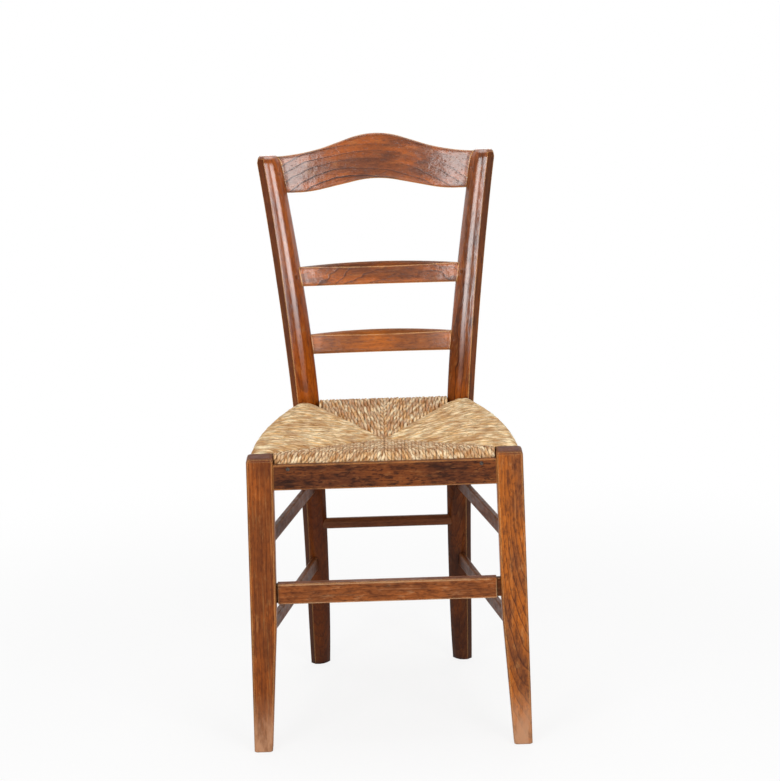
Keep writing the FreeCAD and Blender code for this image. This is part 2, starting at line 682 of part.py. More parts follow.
def join_plank(name, kind, body, level, half_length, thickness, tenon_thickness, z0, z1):
    """Shoulders the plank against both posts and gives it tenons, mortises and a peg at each end."""
    middle = f"({level} + (({z0}) + ({z1})) / 2)"
    face = post_inner(middle)
    centre = f"({bow(face, half_length)} + {thickness} / 2)"
    planes = (f"-({face} + plank_tenon_length)", f"-({face} - plank_tenon_overlap)",
              f"{centre} - {tenon_thickness} / 2", f"{centre} + {tenon_thickness} / 2", z0, z1)
    tenon = leaning_block(f"{name}_tenon", level, *planes)
    mortise = leaning_block(f"{name}_mortise", level, *planes, grow="joint_clearance")
    peg_x = f"-({face} + plank_tenon_length / 2)"
    peg_z = f"(({z0}) + ({z1})) / 2"
    back = "(post_depth_waist - plank_inset)"
    peg = leaning_rod(f"{name}_peg", level, "peg_diameter / 2", "peg_length", peg_x,
                      f"{back} + peg_proud", peg_z)
    hole = leaning_rod(f"{name}_peg_hole", level, "peg_diameter / 2 + joint_clearance",
                       "peg_length + 5", peg_x, f"{back} + peg_proud + 5", peg_z)
    post_mortises.extend([mortise, hole])
    pegs[kind].extend([peg, mirrored(f"{name}_peg_right", peg)])
    shouldered = cut(f"{name}_shouldered", body, [post_blank, post_blank_right])
    joined = fuse(f"{name}_joined", [shouldered, tenon, mirrored(f"{name}_tenon_right", tenon)])
    return cut(name, joined, [hole, mirrored(f"{name}_peg_hole_right", hole)])


def make_crest():
    """A plank bent on a wide radius, sawn to a serpentine top and a softer serpentine underside."""
    level = CREST_LEVEL
    half = "crest_half_length"
    thickness = "crest_thickness"
    y, z = tilted(level, "0", "0")
    body = new_body("crest_plank", y=y, z=z, turn="-back_rake_angle")
    peak = "(crest_arch + crest_middle_height)"
    arc = "back_bow_radius"
    strip = outline(body, "strip", "XY", [(f"-{half}", "0"), (half, "0"), (half, thickness), (f"-{half}", thickness)],
                    arcs={0: f"-{arc}", 2: arc})
    pad(body, strip, peak)
    past = f"({half} + 5)"
    end_fall = f"({peak} - crest_end_height)"
    top = [(f"-{past}", f"{peak} - {end_fall}"), (f"-crest_flank_width", f"{peak} - crest_flank_fall"),
           (f"-crest_peak_width", f"{peak} - crest_peak_fall"), ("crest_peak_width", f"{peak} - crest_peak_fall"),
           ("crest_flank_width", f"{peak} - crest_flank_fall"), (past, f"{peak} - {end_fall}"),
           (past, f"{peak} + 5"), (f"-{past}", f"{peak} + 5")]
    shoulder = "crest_shoulder_radius"
    above = outline(body, "above", "XZ", top, arcs={0: shoulder, 2: "-crest_peak_radius", 4: shoulder})
    pocket_through(body, above, f"4 * {thickness} + 60")
    fall = "crest_arch"
    under = [("crest_haunch_end", "0"), ("crest_haunch_width", f"{fall} - crest_haunch_fall"),
             ("crest_hollow_width", f"{fall} - crest_hollow_fall"),
             ("-crest_hollow_width", f"{fall} - crest_hollow_fall"),
             ("-crest_haunch_width", f"{fall} - crest_haunch_fall"), ("-crest_haunch_end", "0")]
    haunch = "crest_haunch_radius"
    below = outline(body, "below", "XZ", under, arcs={0: f"-{haunch}", 2: "crest_hollow_radius", 4: f"-{haunch}"})
    pocket_through(body, below, f"4 * {thickness} + 60")
    return join_plank("crest_rail", "crest", body, level, half, thickness, "crest_tenon_thickness",
                      "plank_tenon_margin", "crest_end_height - plank_tenon_margin")


def make_slat(name, level, half_length):
    """A bowed slat whose top slopes up from a sagging front arris to a crowned back edge."""
    y, z = tilted(level, "0", "0")
    body = new_body(f"{name}_plank", y=y, z=z, turn="-back_rake_angle")
    sections = []
    for i, share in enumerate((-1, -0.5, 0, 0.5, 1)):
        x = f"{half_length} * {share}"
        front = bow(x, half_length)
        back = f"({front} + slat_thickness)"
        front_top = f"slat_front_middle + (slat_front_end - slat_front_middle) * {share ** 2}"
        back_top = f"slat_back_middle + (slat_back_end - slat_back_middle) * {share ** 2}"
        corners = [(front, "0"), (back, "0"), (back, back_top), (front, front_top)]
        sections.append(outline(body, f"section_{i}", "YZ", corners, x))
    loft(body, "length", sections, ruled=False)
    low = "(slat_front_end - slat_tenon_height) / 2 - 1"
    return join_plank(name, "slat", body, level, half_length, "slat_thickness", "slat_tenon_thickness",
                      low, f"{low} + slat_tenon_height")


crest = make_crest()
upper_slat = make_slat("upper_slat", UPPER_SLAT_LEVEL, "upper_slat_half_length")
lower_slat = make_slat("lower_slat", LOWER_SLAT_LEVEL, "lower_slat_half_length")

# Legs and posts with their mortises
front_leg = cut("front_leg_left", leg_blank, leg_mortises)
rear_post = cut("rear_post_left", post_blank, post_mortises)

# Apron and nails
APRON_TOP = "(seat_height - apron_drop)"
APRON_BOTTOM = f"({APRON_TOP} - apron_height)"


def make_apron_and_nails():
    body = new_body("apron_board")
    front, back = "apron_recess", "apron_recess + apron_thickness"
    wear = "apron_wear"
    corners = [(front, f"{APRON_BOTTOM} + {wear}"), (f"{front} + {wear}", APRON_BOTTOM), (back, APRON_BOTTOM),
               (back, APRON_TOP), (f"{front} + {wear}", APRON_TOP), (front, f"{APRON_TOP} - {wear}")]
    section = outline(body, "section", "YZ", corners)
    pad(body, section, f"2 * ({leg_inner(APRON_BOTTOM)} + 5)", middle=True)
    height = f"{APRON_TOP} - nail_drop"
    shank = document.addObject("Part::Cylinder", "nail_shank")
    head = document.addObject("Part::Cone", "nail_head")
    hole = document.addObject("Part::Cylinder", "nail_hole")
    bind(shank, Radius="nail_diameter / 2", Height="nail_length")
    bind(head, Radius1="nail_head_diameter / 2", Radius2="nail_head_diameter / 2 * 0.8", Height="nail_head_height")
    bind(hole, Radius="nail_diameter / 2 + joint_clearance / 3", Height="nail_length + joint_clearance")
    for thing, turn in ((shank, "-90"), (head, "90"), (hole, "-90")):
        place(thing, "-nail_offset", front, height, turn)
    nail = fuse("nail", [shank, head])
    holes = [hole, mirrored("nail_hole_right", hole)]
    nails = fuse("apron_nails", [nail, mirrored("nail_right", nail)])
    apron = cut("front_apron", body, [leg_blank, leg_blank_right] + holes)
    return apron, nails, holes


apron, nails, nail_holes = make_apron_and_nails()
front_rail_drilled = cut("front_rail_drilled", front_rail, nail_holes)

# Rush seat: each panel wraps its rail, and the panels meet along seams from the corners to the middle
ROLL_STRIPS = 3
RIM_TOP = f"({RAIL_TOP} + rush_layer + rush_rim_crown)"
RIM_BOTTOM = f"({RAIL_BOTTOM} - rush_layer)"
RIM_MIDDLE = f"(({RIM_TOP} + {RIM_BOTTOM}) / 2)"
CENTRE_TOP = f"({RIM_TOP} - rush_dish)"
CENTRE_BOTTOM = f"({RIM_BOTTOM} + rush_lift)"
SEAM_Y = "rush_centre_setback"
LEG_CORNER = f"({leg_inner(RAIL_TOP)} - rush_gap)"
POST_CORNER = f"({post_inner(RAIL_TOP)})"


def panel_profile(edge, rail_inner, middle):
    """Closed section of a panel: top, round the rail, underside. Coordinates are bound depths and heights."""
    inward = f"(({middle} - {edge}) / abs({middle} - {edge}))"
    brow = f"({edge} + rush_roll * {inward})"
    over, side, under = (brow, RIM_TOP), (edge, RIM_MIDDLE), (brow, RIM_BOTTOM)
    return [(middle, CENTRE_TOP), (rail_inner, RIM_TOP), over, *curve(over, (edge, RIM_TOP), side, ROLL_STRIPS), side,
            *curve(side, (edge, RIM_BOTTOM), under, ROLL_STRIPS), under, (rail_inner, RIM_BOTTOM),
            (middle, CENTRE_BOTTOM)]


def pocket_profile(rail_inner, middle):
    """Section of the stuffing between the two layers of a panel."""
    reach = 0.66
    shelf = f"({rail_inner} + ({middle} - {rail_inner}) * {reach})"
    return [(shelf, f"{RIM_TOP} - rush_layer - {reach} * rush_dish"), (rail_inner, f"{RIM_TOP} - rush_layer"),
            (rail_inner, f"{RIM_BOTTOM} + rush_layer"),
            (shelf, f"{RIM_BOTTOM} + rush_layer + {reach} * rush_lift")]


def wedge(name, corners):
    """An upright prism over a bound plan outline, as tall as the seat needs."""
    body = new_body(name)
    plan = outline(body, "plan", "XY", corners, f"{RIM_BOTTOM} - 20")
    pad(body, plan, f"{RIM_TOP} - {RIM_BOTTOM} + 40")
    return body


def straight_band(name, corners):
    body = new_body(name)
    section = outline(body, "section", "YZ", corners)
    pad(body, section, f"2 * {LEG_CORNER} + 40", middle=True)
    return body


def make_panel(name, band, stuffing_band, plan, stuffing_plan, rail, blanks):
    stuffing = common(f"{name}_stuffing", stuffing_band, wedge(f"{name}_stuffing_plan", stuffing_plan))
    trimmed = common(f"{name}_trimmed", band, wedge(f"{name}_plan", plan))
    return cut(name, trimmed, [rail, stuffing] + blanks), stuffing


def seam_inset(corner_x, corner_y):
    """A stuffing wedge's corner, drawn in from the seam's end by the seam's thickness."""
    return f"({corner_x} - rush_seam * 1.5)", f"({corner_y})"


front_x, front_y = seam_inset(LEG_CORNER, LEG_BACK)
front_panel, front_stuffing = make_panel(
    "rush_front_panel", straight_band("rush_front_band", panel_profile(RUSH_FRONT, FRONT_RAIL_BACK, SEAM_Y)),
    straight_band("rush_front_pocket", pocket_profile(f"({FRONT_RAIL_BACK} + rush_gap)", SEAM_Y)),
    [("0", SEAM_Y), (f"-{LEG_CORNER}", LEG_BACK), (f"-{LEG_CORNER}", "0"), (LEG_CORNER, "0"), (LEG_CORNER, LEG_BACK)],
    [("0", f"{SEAM_Y} - rush_seam"), (f"-{front_x}", front_y), (f"-{front_x}", "0"), (front_x, "0"),
     (front_x, front_y)],
    front_rail, nail_holes)

rear_x, rear_y = seam_inset(POST_CORNER, "seat_depth")
rear_panel, rear_stuffing = make_panel(
    "rush_rear_panel", straight_band("rush_rear_band", panel_profile(RUSH_REAR, REAR_RAIL_FRONT, SEAM_Y)),
    straight_band("rush_rear_pocket", pocket_profile(f"({REAR_RAIL_FRONT} - rush_gap)", SEAM_Y)),
    [("0", SEAM_Y), (POST_CORNER, "seat_depth"), (POST_CORNER, f"{RUSH_REAR} + 5"),
     (f"-{POST_CORNER}", f"{RUSH_REAR} + 5"), (f"-{POST_CORNER}", "seat_depth")],
    [("0", f"{SEAM_Y} + rush_seam"), (rear_x, rear_y), (rear_x, RUSH_REAR), (f"-{rear_x}", RUSH_REAR),
     (f"-{rear_x}", rear_y)],
    rear_rail, [post_blank, post_blank_right])

# In the side panels' own frame, x runs out from the centre of their circle
SIDE_MIDDLE = f"-({BOW_CENTRE} - 6)"
SIDE_RAIL_INNER = f"-({RAIL_BOW} - seat_rail_thickness)"
SIDE_STOP = "(seat_depth + post_bevel_setback)"
WIDE = "-(side_rush_spread + 40)"
left_panel, left_stuffing = make_panel(
    "rush_left_panel",
    turned_about_side("rush_side_band", panel_profile(f"-{SIDE_BOW}", SIDE_RAIL_INNER, SIDE_MIDDLE)),
    turned_about_side("rush_side_pocket", pocket_profile(f"({SIDE_RAIL_INNER} + rush_gap)", SIDE_MIDDLE)),
    [("0", SEAM_Y), (f"-{POST_CORNER}", "seat_depth"), (f"-{POST_CORNER}", SIDE_STOP), (WIDE, SIDE_STOP),
     (WIDE, LEG_BACK), (f"-{LEG_CORNER}", LEG_BACK)],
    [("-rush_seam * 1.4", SEAM_Y), (f"-{POST_CORNER} - 2", "seat_depth - rush_seam * 1.5"),
     (WIDE, "seat_depth - rush_seam * 1.5"), (WIDE, f"{LEG_BACK} + rush_seam * 1.5"),
     (f"-{LEG_CORNER} - 2", f"{LEG_BACK} + rush_seam * 1.5")],
    side_rail, [leg_blank, post_blank, rear_rail])

# Sub-parts, left-hand ones with their right-hand copies
for side, mirror in (("left", False), ("right", True)):
    for label, thing in (("front_leg", front_leg), ("rear_post", rear_post), ("side_seat_rail", side_rail),
                         ("side_stretcher_upper", upper_side_stretcher),
                         ("side_stretcher_lower", lower_side_stretcher)):
        sub_part(f"{label}_{side}", mirrored(f"{label}_right", thing) if mirror else thing)
    sub_part(f"rush_{side}_panel", mirrored("rush_right_panel", left_panel) if mirror else left_panel)
stuffing = document.addObject("Part::Compound", "rush_stuffing")
stuffing.Links = [front_stuffing, rear_stuffing, left_stuffing, mirrored("right_stuffing", left_stuffing)]
crest_pegs = document.addObject("Part::Compound", "crest_pegs")
crest_pegs.Links = pegs["crest"]
slat_pegs = document.addObject("Part::Compound", "slat_pegs")
slat_pegs.Links = pegs["slat"]
for label, thing in (("front_seat_rail", front_rail_drilled), ("rear_seat_rail", rear_rail),
                     ("front_stretcher", front_stretcher), ("rear_stretcher", rear_stretcher),
                     ("crest_rail", crest), ("upper_slat", upper_slat), ("lower_slat", lower_slat),
                     ("front_apron", apron), ("apron_nails", nails), ("rush_front_panel", front_panel),
                     ("rush_rear_panel", rear_panel), ("rush_stuffing", stuffing),
                     ("crest_pegs", crest_pegs), ("slat_pegs", slat_pegs)):
    sub_part(label, thing)
document.recompute()

failed = [thing.Name for thing in document.Objects if {"Invalid", "Error"} & set(thing.State)]
failed += [thing.Label for thing in SUB_PARTS if thing.Shape.isNull() or not thing.Shape.isValid()]
if failed:
    raise RuntimeError(f"failed objects: {', '.join(failed)}")

os.makedirs("parts", exist_ok=True)
for thing in SUB_PARTS:
    thing.Shape.exportStep(f"parts/{thing.Label}.step")
    print(f"{thing.Label:28s} {len(thing.Shape.Solids)} solids {thing.Shape.Volume / 1000:9.2f} cm3")
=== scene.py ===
import math

import bpy
import numpy as np
from mathutils import Matrix, Vector


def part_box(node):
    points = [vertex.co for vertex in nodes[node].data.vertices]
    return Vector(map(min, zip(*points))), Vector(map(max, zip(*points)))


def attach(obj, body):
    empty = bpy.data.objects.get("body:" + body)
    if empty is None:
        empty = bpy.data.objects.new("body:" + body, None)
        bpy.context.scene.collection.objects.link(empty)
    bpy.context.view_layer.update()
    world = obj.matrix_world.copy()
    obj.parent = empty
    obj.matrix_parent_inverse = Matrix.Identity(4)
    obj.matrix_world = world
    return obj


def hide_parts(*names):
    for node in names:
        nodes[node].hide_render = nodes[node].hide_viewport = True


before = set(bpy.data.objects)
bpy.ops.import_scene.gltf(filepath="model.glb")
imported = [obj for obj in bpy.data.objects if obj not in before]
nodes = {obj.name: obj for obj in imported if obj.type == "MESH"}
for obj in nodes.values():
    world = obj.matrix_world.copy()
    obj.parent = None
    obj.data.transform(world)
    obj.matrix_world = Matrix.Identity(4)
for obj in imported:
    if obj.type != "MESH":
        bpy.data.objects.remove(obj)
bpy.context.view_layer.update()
scene = bpy.context.scene
scene.view_settings.view_transform = "Standard"


def srgb(red, green, blue):
    """A colour given in display values from 0 to 255, as the linear colour that the shaders take."""
    def linear(value):
        value = value / 255
        return value / 12.92 if value <= 0.04045 else ((value + 0.055) / 1.055) ** 2.4
    return (linear(red), linear(green), linear(blue), 1.0)


class Graph:
    """Short calls to build the nodes of a material or of the world."""

    def __init__(self, owner, output="ShaderNodeOutputMaterial"):
        owner.use_nodes = True
        self.owner = owner
        self.tree = owner.node_tree
        self.tree.nodes.clear()
        self.out = self.tree.nodes.new(output)

    def finish(self, shader):
        self.tree.links.new(shader, self.out.inputs["Surface"])
        return self.owner

    def node(self, kind, inputs=None, **settings):
        made = self.tree.nodes.new(kind)
        for key, value in settings.items():
            setattr(made, key, value)
        for key, value in (inputs or {}).items():
            self.put(made.inputs[key], value)
        return made

    def put(self, socket, value):
        if isinstance(value, bpy.types.NodeSocket):
            self.tree.links.new(value, socket)
        else:
            socket.default_value = value

    def math(self, operation, a, b=0.0, c=0.0, clamp=False):
        made = self.node("ShaderNodeMath", operation=operation, use_clamp=clamp)
        for socket, value in zip(made.inputs, (a, b, c)):
            self.put(socket, value)
        return made.outputs[0]

    def vector(self, operation, a, b=(0, 0, 0), out=0):
        made = self.node("ShaderNodeVectorMath", operation=operation)
        self.put(made.inputs[0], a)
        self.put(made.inputs[1], b)
        return made.outputs[out]

    def mix(self, share, a, b):
        made = self.node("ShaderNodeMix", data_type="RGBA", clamp_factor=True)
        self.put(made.inputs[0], share)
        self.put(made.inputs[6], a)
        self.put(made.inputs[7], b)
        return made.outputs[2]

    def span(self, value, low, high, to_low=0.0, to_high=1.0):
        """A smooth step from to_low, where the value is low, to to_high, where it is high."""
        made = self.node("ShaderNodeMapRange", clamp=True, interpolation_type="SMOOTHSTEP")
        for socket, item in zip(made.inputs, (value, low, high, to_low, to_high)):
            self.put(socket, item)
        return made.outputs[0]

    def stain(self, colour, tint, share, pattern, low, high):
        """Lays a tint over the colour, none where the pattern is low and the share given where it is high."""
        return self.mix(self.math("MULTIPLY", self.span(pattern, low, high), share), colour, tint)

    def noise(self, vector, scale, detail=3.0, roughness=0.55, out="Fac"):
        made = self.node("ShaderNodeTexNoise", {"Vector": vector, "Scale": scale, "Detail": detail,
                                                "Roughness": roughness})
        return made.outputs[out]

    def place(self):
        return self.node("ShaderNodeTexCoord").outputs["Object"]

    def attribute(self, name):
        return self.node("ShaderNodeAttribute", attribute_name=name).outputs["Fac"]


def dress(name, material):
    """Gives a carried-over node its material."""
    thing = nodes[name]
    if thing.data.materials:
        for i in range(len(thing.data.materials)):
            thing.data.materials[i] = material
    else:
        thing.data.materials.append(material)


# The third colour on the next line is painted shade, laid on the rear legs below the seat
PORE, GRIME_AND_SHADE, PAINTED_SEAT_SHADE, DUST = srgb(34, 16, 8), srgb(30, 15, 8), srgb(46, 22, 12), srgb(186, 138, 104)
# The third colour on the next line is painted shade, laid on faces that look one way (flank)
DARK, WORN, FACING_SHADE = (62, 27, 12), (240, 178, 108), (74, 48, 36)
PITH = (0.05, 0.03, 0)          # how far off the middle of the tree a board is, in metres
RUB = 2.5                       # how far the wear reaches from an arris, in millimetres
# The grime colour is laid where ambient occlusion finds joints and recesses: grime, and painted shade
GRIME_AND_SHADE_SHARE, OCCLUSION_REACH = 0.7, 0.014
WAX_ROUGHNESS, WAX_IOR = 0.16, 1.8


def wood(name, grain, seed, mid, bright, dark=DARK, worn=WORN, facing_shade=FACING_SHADE, tilt=3.0, ring=5.0, flame=0.35,
         line=0.5, fibre=0.3, wear=0.75, blotch=0.3, speckle=1.0, shine=0.2, coat=0.0, ripple=0.3,
         round_off=RUB, arches=None, shaded=None, polished=None, flank=None, dusty=0.0):
    """Waxed old elm, its colours given from 0 to 255.
    grain is the direction of the fibres, and tilt by how many degrees the board runs out of line with the
    middle of the tree, which opens the rings into flames. ring is the width of a year's growth in millimetres.
    arches gives the centre and the flattening of rings that show as arches on a wide face. shaded and polished
    are pairs of heights: below the first of shaded the wood is darkened with painted shade from the seat, and
    not above the second; it is dull below the first of polished and polished above the second. flank is a
    direction and a share: faces that look that way are dull, and darkened with painted shade. round_off is how
    far edges catch the light as if round, in millimetres.
    dusty is how pale the feet are."""
    mid, bright, dark, worn, facing_shade = (srgb(*tint) for tint in (mid, bright, dark, worn, facing_shade))
    g = Graph(bpy.data.materials.new(name))
    rng = np.random.default_rng(seed)
    place = g.place()
    turn = Vector(grain).normalized().rotation_difference(Vector((0, 0, 1))).to_euler()
    along = g.node("ShaderNodeMapping", {"Vector": place, "Rotation": tuple(turn)}).outputs[0]
    shift = tuple(float(x) for x in rng.uniform(-3, 3, 3))
    local = g.vector("ADD", along, shift)

    def drawn_out(share):
        """Places for a pattern that is longer along the grain, the more so the smaller the share."""
        return g.vector("MULTIPLY", local, (1.0, 1.0, share))

    drawn = drawn_out(0.3)

    # Annual rings: distance from a leaning axis, pushed about by slow noise, with a thin dark line a year
    push = g.vector("SUBTRACT", g.noise(drawn_out(0.4), 30.0, 2.0, 0.5, out="Color"), (0.5, 0.5, 0.5))
    push = g.vector("MULTIPLY", push, (flame * 0.03,) * 3)
    if arches:
        centre, squash = arches
        ringed = g.vector("MULTIPLY", g.vector("SUBTRACT", place, centre), (squash, 0.25, 1.0))
        ringed = g.vector("ADD", ringed, push)
    else:
        lean = tuple(math.radians(x) for x in (tilt, tilt * 0.6, 0))
        ringed = g.node("ShaderNodeMapping", {"Vector": along, "Location": PITH, "Rotation": lean}).outputs[0]
        ringed = g.vector("MULTIPLY", g.vector("ADD", ringed, push), (1.0, 1.0, 0.0))
    year = g.math("FRACT", g.math("MULTIPLY", g.vector("LENGTH", ringed, out=1), 1000.0 / ring))
    strength = g.span(g.noise(drawn, 14.0, 2.0), 0.32, 0.6)
    late = g.math("MULTIPLY", g.span(year, 0.78, 0.95), g.span(year, 1.0, 0.97))
    late = g.math("MULTIPLY", late, g.math("MULTIPLY", strength, line), clamp=True)

    # Colour: soft clouds of brighter and darker brown, then mottling, grit, blots, fibres, rings and pores
    cloud = g.noise(drawn, 40.0, 2.0, 0.5)
    depth = g.noise(g.vector("ADD", drawn, (2.2, 5.5, 1.1)), 15.0, 2.0, 0.5)
    mottle = g.noise(drawn_out(0.35), 130.0, 4.0, 0.65)
    grit = g.noise(drawn, 420.0, 2.0, 0.6)
    blot = g.noise(g.vector("ADD", drawn, (4.1, 1.7, 2.9)), 55.0, 4.0, 0.7)
    streak = g.noise(drawn_out(0.035), 300.0, 3.0, 0.6)
    pore = g.span(g.noise(drawn_out(0.1), 800.0, 1.0, 0.5), 0.66, 0.74)
    colour = g.mix(g.span(cloud, 0.36, 0.62), mid, bright)
    for tint, share, pattern, low, high in (
            (dark, 0.35, depth, 0.5, 0.72),
            (dark, 0.36 * speckle, mottle, 0.5, 0.7),
            (worn, 0.14 * speckle, mottle, 0.46, 0.26),
            (dark, 0.34 * speckle, grit, 0.5, 0.68),
            (bright, 0.2 * speckle, grit, 0.45, 0.3),
            (dark, blotch, blot, 0.54, 0.68),
            (dark, fibre, streak, 0.5, 0.74),
            (worn, fibre * 0.35, streak, 0.46, 0.26),
            (dark, line * 0.25, year, 0.2, 0.85)):
        colour = g.stain(colour, tint, share, pattern, low, high)
    colour = g.mix(late, colour, dark)
    colour = g.mix(g.math("MULTIPLY", pore, 0.5), colour, PORE)

    # Wear: the arrises are rubbed to a pale gold. Where pieces meet and in recesses, ambient occlusion darkens the
    # colour: grime, and painted shade
    facing = g.node("ShaderNodeNewGeometry").outputs["Normal"]
    near = g.node("ShaderNodeBevel", {"Radius": RUB * 0.001}, samples=6).outputs[0]
    soft = near
    if round_off > RUB:
        soft = g.node("ShaderNodeBevel", {"Radius": round_off * 0.001}, samples=10).outputs[0]
    height = g.node("ShaderNodeSeparateXYZ", {0: place}).outputs[2]
    turned = g.math("SUBTRACT", 1.0, g.vector("DOT_PRODUCT", near, facing, 1))
    rub = g.noise(g.vector("ADD", drawn, (7.7, 3.1, 0.4)), 60.0, 4.0, 0.7)
    edge = g.math("MULTIPLY", g.span(turned, 0.013, 0.032), g.span(rub, 0.28, 0.5), clamp=True)
    dull = 0.0
    if flank:
        way, shade_share = flank
        dull = g.span(g.vector("DOT_PRODUCT", facing, way, 1), 0.3, 0.55)
        # Painted shade: faces that look the flank's way are darkened
        colour = g.mix(g.math("MULTIPLY", dull, shade_share), colour, facing_shade)
        if way[2] == 0:
            edge = g.math("MULTIPLY", edge, g.span(g.vector("DOT_PRODUCT", near, way, 1), 0.05, 0.25))
    if polished:
        dull = g.math("MAXIMUM", dull, g.span(height, polished[1], polished[0]))
    colour = g.mix(g.math("MULTIPLY", edge, wear), colour, worn)
    # Painted shade, with grime: darker where ambient occlusion finds joints and recesses
    occluded = g.node("ShaderNodeAmbientOcclusion", {"Distance": OCCLUSION_REACH}, samples=6).outputs["AO"]
    colour = g.stain(colour, GRIME_AND_SHADE, GRIME_AND_SHADE_SHARE, occluded, 0.8, 0.35)
    # Painted shade: the rear legs are darker below the seat, where the seat shades them
    if shaded:
        colour = g.stain(colour, PAINTED_SEAT_SHADE, 0.72, height, shaded[1], shaded[0])
    if dusty:
        foot = g.math("MULTIPLY", g.span(height, 0.1, 0.01), g.span(rub, 0.35, 0.6, 0.4, 1.0))
        colour = g.mix(g.math("MULTIPLY", foot, dusty), colour, DUST)

    # Surface: hand-planed ripples and open grain, with wax where the wood isn't dull
    gleam = g.math("SUBTRACT", 1.0, g.math("MULTIPLY", dull, 0.9))
    wave = g.noise(local, 48.0, 3.0, 0.55)
    relief = g.math("ADD", g.math("MULTIPLY", wave, ripple), g.math("MULTIPLY", mottle, 0.1 + 0.2 * ripple))
    sunk = g.math("ADD", g.math("MULTIPLY", pore, 0.12), g.math("MULTIPLY", late, 0.12))
    relief = g.math("SUBTRACT", relief, sunk)
    bump = g.node("ShaderNodeBump", {"Height": relief, "Normal": soft, "Strength": 0.7, "Distance": 0.0012})
    rough = g.span(g.noise(local, 90.0, 3.0, 0.6), 0.3, 0.7, 0.34, 0.5)
    shader = g.node("ShaderNodeBsdfPrincipled", {
        "Base Color": colour, "Roughness": rough, "Normal": bump.outputs[0],
        "Specular IOR Level": g.math("MULTIPLY", gleam, shine), "Coat Weight": g.math("MULTIPLY", gleam, coat),
        "Coat Roughness": WAX_ROUGHNESS, "Coat IOR": WAX_IOR, "Coat Normal": bump.outputs[0]})
    return g.finish(shader.outputs[0])


UP, ACROSS = (0, 0, 1), (1, 0, 0)
POST_LEAN_X, POST_LEAN_Y = 0.115, 0.14
# flank lays painted shade on the tops of the legs and planks and on the rear posts' outer sides
front_leg = dict(grain=UP, shine=0.12, dusty=0.9, wear=0.4, flank=(UP, 0.7), facing_shade=(88, 62, 56))
# shaded lays painted shade on the rear legs below the seat
rear_post = dict(wear=0.85, coat=1.0, round_off=6, shaded=(0.34, 0.43))
plank = dict(grain=ACROSS, round_off=9, facing_shade=(62, 28, 12))
wood_settings = {
    "front_leg_left": dict(front_leg, seed=1, mid=(124, 64, 25), bright=(152, 78, 26), ring=3.2, tilt=1.2,
                           flame=0.15, line=0.5, fibre=0.45),
    "front_leg_right": dict(front_leg, seed=2, mid=(132, 72, 30), bright=(176, 94, 22), ring=26.0, flame=1.5,
                            line=0.75, arches=((0.216, -0.2, 0.40), 5.0), coat=0.08, speckle=1.6),
    "rear_post_left": dict(rear_post, grain=(-POST_LEAN_X, POST_LEAN_Y, 1), seed=3, mid=(138, 62, 12),
                           bright=(164, 80, 12), ring=6.0, tilt=2.5, line=0.4, fibre=0.2, ripple=0.12,
                           polished=(0.50, 0.68), flank=((-1, 0, 0), 0.55)),
    "rear_post_right": dict(rear_post, grain=(POST_LEAN_X, POST_LEAN_Y, 1), seed=4, mid=(116, 60, 26),
                            bright=(160, 80, 20), ring=7.0, tilt=4.0, flame=0.6, line=0.7, fibre=0.25,
                            blotch=0.8, ripple=0.8, polished=(0.50, 0.62), flank=((1, 0, 0), 0.55)),
    "crest_rail": dict(plank, seed=5, mid=(126, 66, 32), bright=(172, 86, 22), ring=12.5, flame=0.55, line=1.0,
                       fibre=0.15, coat=0.8, ripple=0.6, blotch=0.5, arches=((-0.024, 0.0, 0.655), 0.85),
                       flank=(UP, 0.6)),
    "upper_slat": dict(plank, seed=6, mid=(132, 70, 30), bright=(184, 94, 20), ring=13.0, flame=1.8, line=0.7,
                       fibre=0.15, coat=0.75, ripple=0.5, blotch=0.5, arches=((0.05, 0.0, 0.56), 0.7),
                       flank=(UP, 0.4)),
    "lower_slat": dict(plank, seed=7, mid=(148, 80, 28), bright=(190, 102, 24), ring=6.0, flame=0.4,
                       line=0.4, fibre=0.2, coat=0.7, flank=(UP, 0.2)),
    "front_apron": dict(grain=ACROSS, seed=8, mid=(92, 48, 24), bright=(118, 62, 26), dark=(40, 18, 10),
                        worn=(196, 132, 76), tilt=2.0, flame=0.5, line=0.3, blotch=0.8, shine=0.12,
                        speckle=2.4),
    "front_stretcher": dict(grain=ACROSS, seed=9, mid=(126, 70, 34), bright=(150, 82, 36),
                            worn=(236, 190, 140), ring=6.0, tilt=2.5, flame=0.5, wear=0.6, shine=0.12,
                            speckle=1.5),
    # The stretchers are darker than the legs: partly their own wood, partly painted shade from the seat above
    "rear_stretcher": dict(grain=ACROSS, seed=10, mid=(92, 54, 34), bright=(110, 62, 34), worn=(140, 92, 60),
                           wear=0.4, shine=0.12),
}
SIDE_TURN = 0.2                 # how far a side stretcher turns out from front to back
# The side stretchers' dark colours are partly their own wood, partly painted shade from the seat above
for number, end in enumerate(("upper_left", "upper_right", "lower_left", "lower_right")):
    wood_settings["side_stretcher_" + end] = dict(
        grain=(SIDE_TURN if "left" in end else -SIDE_TURN, 1, 0), seed=11 + number, mid=(88, 46, 22),
        bright=(112, 60, 26), dark=(40, 20, 12), worn=(190, 136, 90), wear=0.3, shine=0.08)
seat_rails = (("front_seat_rail", ACROSS), ("rear_seat_rail", ACROSS),
              ("side_seat_rail_left", (0, 1, 0)), ("side_seat_rail_right", (0, 1, 0)))
for number, (name, direction) in enumerate(seat_rails):
    wood_settings[name] = dict(grain=direction, seed=20 + number, mid=(190, 150, 104), bright=(206, 168, 120),
                               dark=(120, 84, 52), worn=(222, 190, 146), shine=0.15)
for number, name in enumerate(("crest_pegs", "slat_pegs")):
    wood_settings[name] = dict(grain=(0, 1, 0.14), seed=30 + number, mid=(112, 60, 34), bright=(140, 76, 38),
                               dark=(48, 26, 16), worn=(180, 122, 76), wear=0.0)
